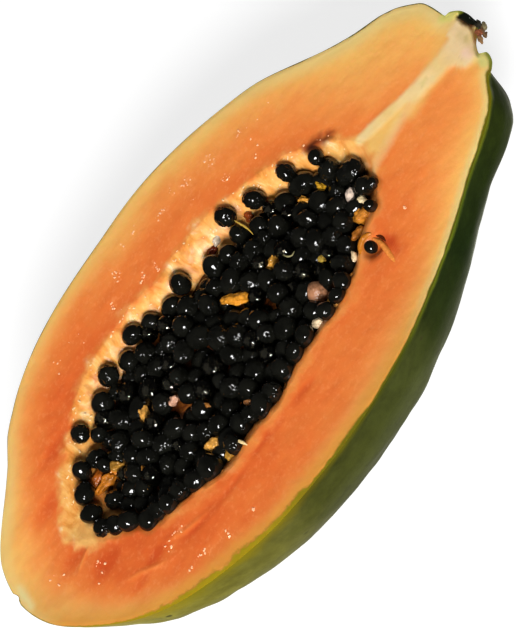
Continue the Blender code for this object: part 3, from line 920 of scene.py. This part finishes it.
def wall_height(p):
    """Height of the hollow's wall over the cut face under points (n, 2+). 0 outside."""
    middle, half, depth = hollow_at(p[:, 0])
    share = np.clip(1 - ((p[:, 1] - middle) / half) ** 2, 0, None)
    return -depth * share ** (HOLLOW_BOWL / 2)


def off_wall(at):
    """How far points (n, 3) are from the hollow's wall, and the direction away from it."""
    step = 0.05
    slopes = [wall_height(at + [step, 0, 0]) - wall_height(at - [step, 0, 0])]
    slopes.append(wall_height(at + [0, step, 0]) - wall_height(at - [0, step, 0]))
    slope_x, slope_y = (rise / (2 * step) for rise in slopes)
    away = units(np.column_stack([-slope_x, -slope_y, np.ones(len(at))]))
    return (at[:, 2] - wall_height(at)) * away[:, 2], away


def heap_height(p):
    """Height of the heap's smooth top over the cut face."""
    u = (p[:, 0] - HEAP_MIDDLE[0]) / HEAP_REACH[0]
    v = (p[:, 1] - HEAP_MIDDLE[1]) / HEAP_REACH[1]
    dome = HEAP_CROWN - (HEAP_CROWN - HEAP_FOOT) * (u * u + v * v)
    return dome + HEAP_UNEVEN * noise(p * [1, 1, 0], 13, 31)


SIGHT_STEP = 0.25
SIGHT_END = -12.0  # height over the cut face
PLACED_TOUCH = 0.86  # a seed with its own place may press into the wall a little


def settled(x, y, radius):
    """Where a seed that shows at (x, y) rests: down its line of sight to the heap's top or the wall."""
    top = HEAP_TOP - CUT - radius - HEAP_CLEAR
    at = behind(x, y, top)
    for height in np.arange(top, SIGHT_END, -SIGHT_STEP):
        lower = behind(x, y, height)
        if off_wall(lower[None])[0][0] < PLACED_TOUCH * radius:
            break
        at = lower
        if height + radius < heap_height(lower[None])[0]:
            break
    return at


def pack_seeds():
    """Centres (heights over the cut face) and radii of all seeds, the loose ones pushed until they fit."""
    draw = np.random.default_rng(SEED)
    placed = np.array([settled(x, y, r) for x, y, r, _ in PLACED])
    blocks = np.array([behind(x, y, h) for x, y, h, *_ in BITS])
    fixed = len(placed) + len(blocks)
    x, y = draw.uniform(*LOOSE_X, LOOSE_SEEDS), draw.uniform(*LOOSE_Y, LOOSE_SEEDS)
    loose = np.column_stack([x, y, np.zeros(LOOSE_SEEDS)])
    loose[:, 2] = heap_height(loose) - draw.uniform(3, HEAP_BAND, LOOSE_SEEDS)
    at = np.vstack([placed, blocks, loose])
    placed_radii = [row[2] for row in PLACED]
    block_radii = [BIT_ROOM * max(row[3]) for row in BITS]
    loose_radii = np.clip(draw.normal(*LOOSE_RADIUS, LOOSE_SEEDS), *RADIUS_LIMITS)
    radius = np.concatenate([placed_radii, block_radii, loose_radii])
    lift = draw.uniform(*LOOSE_LIFT, len(at))
    far_limit, near_limit = (np.array(rows, float).T for rows in (FAR_LIMIT, NEAR_LIMIT))
    for turn in range(PACK_TURNS):
        # Away from each other.
        apart = at[:, None, :] - at[None, :, :]
        gap = np.linalg.norm(apart, axis=2)
        np.fill_diagonal(gap, 1e9)
        push = np.clip(SEED_TOUCH * (radius[:, None] + radius[None, :]) - gap, 0, None)
        move = (apart / np.maximum(gap, 1e-6)[:, :, None] * push[:, :, None]).sum(1) * PUSH_SHARE
        move[:, 2] += RISE_STEP if turn < RISE_TURNS else 0.0
        at[fixed:] += np.clip(move[fixed:], -1, 1)
        # Off the wall, twice, since it curves.
        for _ in range(2):
            clear, away = off_wall(at)
            short = np.clip(radius * WALL_TOUCH - clear, 0, 1.0)
            at[fixed:] += (away * short[:, None])[fixed:]
        # Under the heap's top and over the core.
        top = heap_height(at) + lift - radius
        at[fixed:, 2] = np.minimum(at[:, 2], top)[fixed:]
        at[fixed:, 2] = np.maximum(at[:, 2], np.minimum(heap_height(at) - HEAP_BAND, top))[fixed:]
        # Inside the heap's outline as it shows from the camera.
        x, y = shows_at(at)
        tall = radius / CAMERA_BACK.z
        past = np.clip(y + tall - np.interp(x, *far_limit), 0, 1)
        shy = np.clip(np.interp(x, *near_limit) - (y - tall), 0, 1) * (at[:, 2] > -6)
        at[fixed:, 1] += (shy - past)[fixed:]
    at[:, 2] = np.minimum(at[:, 2], HEAP_TOP - CUT - radius - HEAP_CLEAR)
    # The bits kept their places free. They aren't seeds.
    keep = np.ones(len(at), bool)
    keep[len(PLACED) : fixed] = False
    lone_x, lone_y, lone_radius, lone_height = LONE
    return np.vstack([at[keep], behind(lone_x, lone_y, lone_height)]), np.append(radius[keep], lone_radius)


def ball(level):
    """Points and triangles of a unit sphere made by splitting an icosahedron."""
    made = bmesh.new()
    bmesh.ops.create_icosphere(made, subdivisions=level, radius=1.0)
    points = np.array([v.co for v in made.verts])
    faces = [[v.index for v in f.verts] for f in made.faces]
    made.free()
    return points, faces


def turns(draw, count):
    """Random rotations (n, 3, 3)."""
    q = draw.normal(size=(count, 4))
    q /= np.linalg.norm(q, axis=1, keepdims=True)
    w, x, y, z = q.T
    return np.array(
        [
            [1 - 2 * (y * y + z * z), 2 * (x * y - z * w), 2 * (x * z + y * w)],
            [2 * (x * y + z * w), 1 - 2 * (x * x + z * z), 2 * (y * z - x * w)],
            [2 * (x * z - y * w), 2 * (y * z + x * w), 1 - 2 * (x * x + y * y)],
        ]
    ).transpose(2, 0, 1)


TOP_MARGIN = 0.05  # every seed ends this much under the CAD heap's top


def seed_mesh(name, at, radius, draw, level=4, longest=1.3, lumps=0.06, wrinkles=0.0, size=1.0):
    """One mesh of many seeds: uneven ellipsoids, with wrinkles as deep as a share of the radius."""
    unit, faces = ball(level)
    parts = []
    for i, (centre, r, turn) in enumerate(zip(at, radius, turns(draw, len(at)))):
        shape = unit * (1 + lumps * noise(unit, 1.1, 100 + i)[:, None])
        if wrinkles:
            creases = 1 - np.abs(noise(unit, 0.36, 300 + i)) * 2
            shape = shape * (1 - wrinkles * np.clip(creases, 0, 1) ** 2)[:, None]
        long = draw.uniform(1.0, longest)
        shape = shape * np.array([long, 1.0, 1.0]) * (r * size / long ** (1 / 3))
        shape = shape @ turn.T + centre + [0, 0, CUT]
        shape[:, 2] -= max(0.0, shape[:, 2].max() - (HEAP_TOP - TOP_MARGIN))
        parts.append((shape, faces))
    return joined(name, parts)


def seed_material(name, bump_scale, bump_strength):
    n = Nodes(name)
    grain = n.noise(bump_scale, 3, 0.55)
    black = shown(19, 19, 15)
    blacker = tuple(c * 0.5 for c in black[:3]) + (1.0,)
    n.set(Base_Color=n.mix(n.step(n.noise(260, 2, 0.5), 0.35, 0.65), blacker, black))
    n.set(Roughness=n.step(grain, 0.35, 0.7, 0.03, 0.06), IOR=1.4)
    uneven = n.bump(n.noise(650, 1, 0.4), 0.42, 0.0005)
    n.set(Normal=n.bump(grain, bump_strength, 0.0004, Normal=uneven))
    return n.material


def sac_material():
    n = Nodes("seed_sac")
    n.set(Base_Color=(214, 206, 178), Roughness=0.04, IOR=1.33, Transmission_Weight=1.0)
    n.set(Normal=n.bump(n.noise(500, 2, 0.5), 0.12, 0.0003))
    return n.material


DEEP = -3.6  # a seed whose top is this much under the heap's smooth top gets fewer faces
SMOOTH_UP_TO = 0.46  # share of the loose seeds that are smooth
WRINKLED_UP_TO = 0.82  # and of those that are smooth or wrinkled


def make_seeds(at, radius):
    draw = np.random.default_rng(SEED + 1)
    hidden = at[:, 2] + radius - heap_height(at) < DEEP
    kinds = {"s": [], "w": [], "c": [], "deep": []}
    for i in draw.permutation(len(at)):
        pick = draw.random()
        if i < len(PLACED):
            kind = PLACED[i][3]
        elif i == len(at) - 1:
            kind = "s"  # the lone seed
        elif hidden[i]:
            kind = "deep"
        else:
            kind = "s" if pick < SMOOTH_UP_TO else "w" if pick < WRINKLED_UP_TO else "c"
        kinds[kind].append(i)

    glossy = seed_material("seed_smooth", 900, 0.16)
    rough = seed_material("seed_wrinkled", 480, 0.6)
    sac = sac_material()
    for name, kind, material, form in (
        ("seeds_smooth", "s", glossy, {"longest": 1.32}),
        ("seeds_wrinkled", "w", rough, {"lumps": 0.07, "wrinkles": 0.17}),
        ("seeds_deep", "deep", rough, {"level": 3, "longest": 1.25, "lumps": 0.04}),
        ("seeds_in_sacs", "c", rough, {"longest": 1.1, "lumps": 0.03, "wrinkles": 0.06, "size": 0.84}),
        ("seed_sacs", "c", sac, {"longest": 1.05, "lumps": 0.02, "size": 1.02}),
    ):
        made = seed_mesh(name, at[kinds[kind]], radius[kinds[kind]], draw, **form)
        belongs(made, material)
        if name == "seeds_smooth":
            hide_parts("seed_heap")


# ---------------------------------------------------------------- pulp, threads, juice, the dried stalk


def lumps_mesh(name, rows, level, number):
    """One mesh of uneven ellipsoids, numbered for their noise. Each row is a centre, its height counted from
    the cut face, half sizes, turn about the vertical in degrees, colour and roughness."""
    unit, faces = ball(level)
    parts = []
    for i, (centre, half, turn, _, roughness) in enumerate(rows, number):
        uneven_by = roughness * noise(unit, 0.75, 500 + i) + 0.5 * roughness * noise(unit, 0.36, 540 + i)
        shape = unit * (1 + uneven_by)[:, None] * np.array(half)
        c, s = np.cos(np.radians(turn)), np.sin(np.radians(turn))
        shape = shape @ np.array([[c, s, 0], [-s, c, 0], [0, 0, 1]])
        parts.append((shape + centre + [0, 0, CUT], faces))
    return joined(name, parts, [row[3] for row in rows])


def tinted(made, roughness, scale, bump, darkest):
    """Give a piece the colours kept on its mesh, mottled down to a darkest share of them."""
    n = Nodes(made.name)
    broad = n.noise(scale, 4, 0.6)
    tint = n.add("Attribute", attribute_name="tint")
    colour = n.shaded(tint, n.step(broad, 0.35, 0.62, darkest, 1.08))
    n.set(Base_Color=colour, Roughness=n.step(broad, 0.3, 0.7, *roughness), IOR=1.38)
    n.set(Normal=n.bump(n.noise(scale * 2.4, 3, 0.6), bump, 0.0005))
    belongs(made, n.material)


BIT_SINK = 1.9  # the bits lie this much lower than their rows say, still where they show


def make_bits():
    rows = [(behind(x, y, height - BIT_SINK), *rest) for x, y, height, *rest in BITS + SHREDS]
    made = lumps_mesh("pulp_bits", rows, level=4, number=0)
    tinted(made, roughness=(0.05, 0.2), scale=560, bump=0.6, darkest=0.5)


# The dried remains of the stalk, hanging at the stub: centre with its height over the cut face, half sizes,
# turn, colour, raggedness.
SCRAPS = [
    ((107, -6.9, -0.5), (0.9, 1.5, 0.55), -21, (46, 42, 28), 0.3),
    ((107.7, -8.6, -1), (0.75, 1.7, 0.5), -27, (152, 136, 96), 0.15),
    ((105.3, -8.8, -0.5), (1, 1.6, 0.5), -23, (146, 80, 48), 0.35),
    ((104.1, -10.6, -0.6), (0.8, 1.4, 0.5), -10, (146, 108, 66), 0.35),
    ((106.3, -8.4, -0.9), (1.1, 1.5, 0.5), -20, (120, 82, 50), 0.4),
    ((106, -10.2, -1.6), (0.7, 1, 0.5), -10, (112, 82, 50), 0.4),
]


def make_scraps():
    made = lumps_mesh("stalk_scraps", SCRAPS, level=4, number=60)
    tinted(made, roughness=(0.55, 0.8), scale=900, bump=0.9, darkest=0.5)


def tube(line, radii, sides=10):
    """Points and faces of a closed tube along a line."""
    ahead = units(np.gradient(line, axis=0))
    side = units(np.cross(ahead, [0.13, 0.21, 0.97]))
    over = np.cross(ahead, side)
    angles = np.linspace(0, 2 * np.pi, sides, endpoint=False)[None, :, None]
    round_it = np.cos(angles) * side[:, None] + np.sin(angles) * over[:, None]
    rings = line[:, None] + radii[:, None, None] * round_it
    return rings.reshape(-1, 3), ring_faces(len(line), sides)


# Strands that stand out: colour, half thickness, and where they show on the plane of the cut face with their
# height over it.
STRANDS = [
    ((214, 176, 74), 0.34, [(18.2, 22.6, -1.6), (18.9, 19, -0.8), (19.4, 15, 0.2), (19.2, 12.4, 0.2)]),
    ((220, 194, 138), 0.55, [
        (-27.6, -27.2, 0.5), (-26.8, -29.2, 0.8), (-26, -31.6, 0.6), (-25.6, -33.6, -0.4),
    ]),
    ((150, 142, 100), 0.26, [(21, -1.2, 1), (21.4, -2.8, 1.4), (22.6, -4, 1.2), (24, -3.8, 0.8)]),
    ((190, 112, 26), 1, [
        (36.6, -25.8, -1.2), (36.9, -23.8, -0.5), (38.2, -22, -0.2), (40.2, -21.2, 0), (42.2, -21.8, -0.1),
        (43.4, -23.6, -0.7),
    ]),
    ((78, 30, 10), 0.5, [
        (43.3, -24.2, -0.4), (43.9, -25.5, -0.2), (44.1, -26.8, -0.2), (43.9, -28.2, -0.4),
    ]),
    ((226, 136, 58), 0.95, [
        (42, -23.4, -0.7), (42.7, -26.6, -0.2), (42.5, -29.3, -0.3), (42.1, -32, -0.4), (41.6, -34.8, -0.5),
        (40.9, -37.9, -0.8),
    ]),
]
STRAND_STEPS = 24  # points along each strand


def make_threads():
    parts = []
    for _, thick, knots in STRANDS:
        knots = [behind(*knot) for knot in knots]
        line = through([2 * knots[0] - knots[1], *knots, 2 * knots[-1] - knots[-2]], STRAND_STEPS)
        radii = thick * np.clip(np.sin(np.linspace(0.25, np.pi - 0.12, len(line))), 0.25, 1)
        points, faces = tube(line, radii)
        parts.append((points + [0, 0, CUT], faces))
    made = joined("pulp_threads", parts, [row[0] for row in STRANDS])
    tinted(made, roughness=(0.15, 0.3), scale=900, bump=0.3, darkest=0.85)


# Wet glossy beads in clusters on the cut face, coloured paler than the flesh as painted glints too: x, y,
# reach along x and y, and their share.
BEADS = [
    (38.1, 39.8, 1.2, 1.6, 5), (26.3, 43.6, 2.2, 2, 8), (25.9, 34.4, 1.6, 1.2, 6), (17.3, 45.9, 1, 1.4, 4),
    (15, 45.9, 0.9, 0.9, 3), (11.4, 48.3, 0.8, 1.6, 4), (4.6, 46.2, 2.4, 1.2, 8), (-5.2, 51.5, 1.4, 1.2, 3),
    (-11.3, 50.2, 1.2, 2, 3), (-18.6, 45.8, 1.4, 2.4, 6), (-13.4, 37, 1.4, 1.4, 4), (-7.8, 35, 1.2, 2, 6),
    (14.1, 40.2, 1, 1.6, 3), (-25.8, 37, 1.2, 4, 6), (-46, 42, 8, 4, 5), (54.2, -26.1, 0.6, 0.6, 2),
    (-38.1, -49, 1.2, 0.8, 2), (-58, -32.2, 2, 1, 5), (-62.6, -32.6, 1.4, 1.6, 4),
    (-62.5, -43.6, 0.8, 0.8, 2), (-57, -44.4, 2, 1.2, 6), (-48.2, -46.6, 1.2, 1.4, 4), (-85, -18, 6, 3, 5),
    (-94, -8, 4, 3, 3), (43.5, 34, 9, 6, 5), (56, 12.6, 1.4, 1, 1), (50.5, 14.8, 3, 1.4, 2),
    (46, 17, 2.6, 1.2, 3),
]
BEAD_SHARE = 1.4  # beads drawn for each one counted in a cluster
BEAD_SIZES = (0.12, 0.32)
BEAD_SUNK = -0.1  # height of a bead's middle over the cut face
LINING_GLINTS = 110  # wet beads on the far side of the lining
GLINT_SIZES = (0.14, 0.3)
GLINT_RISE = 0.02  # over the wall
GLINT_REACH = 6.0  # from the hollow's far edge


def make_beads():
    draw = np.random.default_rng(SEED + 3)
    rows = []

    def bead(centre, size, longest, colour):
        half = (size * draw.uniform(1.0, longest), size, size * 0.7)
        rows.append((centre, half, draw.uniform(-90, 90), colour, 0.45))

    for x, y, reach_x, reach_y, count in BEADS:
        for _ in range(round(BEAD_SHARE * count)):
            size = draw.uniform(*BEAD_SIZES)
            centre = (x + reach_x * draw.uniform(-1, 1), y + reach_y * draw.uniform(-1, 1), BEAD_SUNK)
            # Pale, as painted glints, besides their real gloss.
            bead(centre, size, 1.7, (255, 194, 148))
    for x in draw.uniform(-78, 56, LINING_GLINTS):
        middle, half_width, _ = hollow_at(x)
        y = middle + half_width - draw.uniform(0.0, GLINT_REACH)
        size = draw.uniform(*GLINT_SIZES)
        height = wall_height(np.array([[x, y]]))[0] + GLINT_RISE
        # Pale, as painted glints on the lining, besides their real gloss.
        bead((x, y, height), size, 2.4, (250, 214, 160))
    made = lumps_mesh("juice_beads", rows, level=3, number=200)
    tinted(made, roughness=(0.05, 0.12), scale=500, bump=0.1, darkest=0.95)


CORE_SPAN = (-76, 56)  # along x
CORE_STATIONS = 120
CORE_ACROSS = 60
CORE_RISE = 2.0  # how far it reaches up into the band of loose seeds
CORE_WAVES = 1.6  # height of its lumps
CORE_SUNK = 2.0  # its underside lies this far behind the hollow's wall
CORE_COVER = 1.6  # and its top no further than this


def make_core():
    """The pulp under the seeds, a closed lumpy form that fills the bottom of the hollow."""
    sections = []
    for x in np.linspace(*CORE_SPAN, CORE_STATIONS):
        middle, half, _ = hollow_at(x)
        half = max(half - 0.6, 0.4)
        y = middle + half * np.linspace(-1, 1, CORE_ACROSS)
        p = np.column_stack([np.full(CORE_ACROSS, x), y, np.zeros(CORE_ACROSS)])
        wall = wall_height(p)
        lumpy = heap_height(p) - HEAP_BAND + CORE_RISE + CORE_WAVES * noise(p, 6, 41)
        top = np.maximum(lumpy, wall - CORE_COVER)
        ring_y = np.concatenate([y[::-1], y])
        ring_z = np.concatenate([top[::-1], wall - CORE_SUNK]) + CUT
        sections.append(np.column_stack([np.full(len(ring_y), x), ring_y, ring_z]))
    made = new_mesh("seed_bed", np.vstack(sections), ring_faces(CORE_STATIONS, 2 * CORE_ACROSS))
    n = Nodes("pulp")
    tones = {0.35: (28, 12, 5), 0.52: (80, 38, 12), 0.7: (160, 92, 32)}
    n.set(Base_Color=n.ramp(n.noise(150, 4, 0.6), tones))
    n.set(Roughness=0.25, IOR=1.38, Normal=n.bump(n.noise(600, 3), 0.5, 0.0005))
    belongs(made, n.material)


# ---------------------------------------------------------------- camera, light, floor

CAMERA_RIGHT = Vector((0.597, -0.554, -0.580))
CAMERA_BACK = Vector((0.158, -0.627, 0.763))
CAMERA_TARGET = Vector((3.14, -8.0, CUT)) * MM
CAMERA_DISTANCE = 0.8036
CAMERA_LENS = 159.24  # on a 36 mm sensor, along the picture's height


def make_camera():
    """The camera at the photograph's angle. Gives the ways that are up in the picture and out of it."""
    data = bpy.data.cameras.new("camera")
    data.sensor_width = 36
    data.lens = CAMERA_LENS
    data.clip_end = 20
    camera = in_scene("camera", data)
    back = CAMERA_BACK.normalized()
    right = (CAMERA_RIGHT - back * CAMERA_RIGHT.dot(back)).normalized()
    up = back.cross(right)
    turn = Matrix((right, up, back)).transposed().to_4x4()
    camera.matrix_world = Matrix.Translation(CAMERA_TARGET + back * CAMERA_DISTANCE) @ turn
    bpy.context.scene.camera = camera
    return up, back


def make_light(name, direction, distance, size, power):
    """A round area light that looks at the camera's target, its sizes in metres and its power in watts."""
    data = bpy.data.lights.new(name, "AREA")
    data.shape = "DISK"
    data.size = size
    data.energy = power
    light = in_scene(name, data)
    direction = direction.normalized()
    light.location = CAMERA_TARGET + direction * distance
    light.rotation_euler = direction.to_track_quat("Z", "Y").to_euler()
    return light


WHITE = (1.0, 1.0, 1.0, 1.0)


def make_stage():
    up, back = make_camera()
    make_light("key", back * 0.94 - up * 0.34, distance=1.2, size=0.36, power=19.5)
    fill = make_light("fill", Vector((-0.6, 0.5, 0.9)), distance=2.0, size=3.0, power=16)
    fill.visible_glossy = False
    world = bpy.data.worlds.new("world")
    world.use_nodes = True
    background = world.node_tree.nodes["Background"]
    background.inputs["Color"].default_value = WHITE
    background.inputs["Strength"].default_value = 0.04
    bpy.context.scene.world = world
    bpy.context.scene.view_settings.view_transform = "Standard"
    bpy.context.scene.view_settings.look = "None"

    corners = np.array([[-4, -4, 0], [4, -4, 0], [4, 4, 0], [-4, 4, 0]]) / MM
    floor = new_mesh("floor", corners, [(0, 1, 2, 3)], smooth_faces=False)
    n = Nodes("floor")
    n.set(Base_Color=(0.4, 0.4, 0.4, 1), Roughness=0.9, Emission_Color=WHITE, Emission_Strength=0.73)
    floor.data.materials.append(n.material)
    floor.visible_glossy = False  # dark surroundings, as far as the wet seeds and the skin mirror them


make_stage()
seeds, seed_radii = pack_seeds()
make_fruit(seeds, seed_radii)
make_core()
make_seeds(seeds, seed_radii)
make_bits()
make_threads()
make_beads()
make_scraps()
